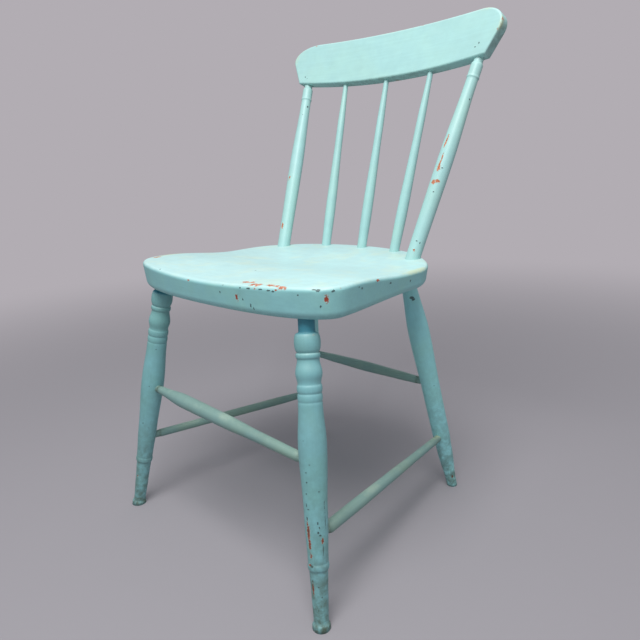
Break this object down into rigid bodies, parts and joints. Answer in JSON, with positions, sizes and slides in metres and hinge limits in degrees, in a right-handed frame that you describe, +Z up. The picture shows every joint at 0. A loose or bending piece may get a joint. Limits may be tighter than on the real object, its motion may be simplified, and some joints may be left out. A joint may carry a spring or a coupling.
{
  "type": "painted plank-seat chair",
  "caption": "Old wooden kitchen chair with a thick plank seat, turned splayed legs, a raked spindle back and a bowed crest rail, in worn and chipped turquoise paint.",
  "frame": {"origin": "On the floor, at the middle of the chair's overall width and depth", "axes": "+X to the right as seen from the front, +Y towards the back of the chair, +Z up"},
  "size_m": [0.4931, 0.5152, 0.8144],
  "materials": {
    "seat_paint": "brushed pale turquoise paint over wood, worn at the rim and chipped down to an orange-red undercoat",
    "turned_paint": "brushed turquoise paint over turned wood, with long chips, dark specks and grime in the grooves",
    "crest_paint": "brushed turquoise paint over wood, rubbed along the top edge and dirty at the ends"
  },
  "bodies": {
    "root": {"seat": "seat_paint", "leg_front_left": "turned_paint", "leg_front_right": "turned_paint", "leg_rear_left": "turned_paint", "leg_rear_right": "turned_paint", "stretcher_front": "turned_paint", "stretcher_rear": "turned_paint", "stretcher_left": "turned_paint", "stretcher_right": "turned_paint", "back_post_left": "turned_paint", "back_post_right": "turned_paint", "spindle_left": "turned_paint", "spindle_middle": "turned_paint", "spindle_right": "turned_paint", "crest_rail": "crest_paint"}
  },
  "joints": []
}
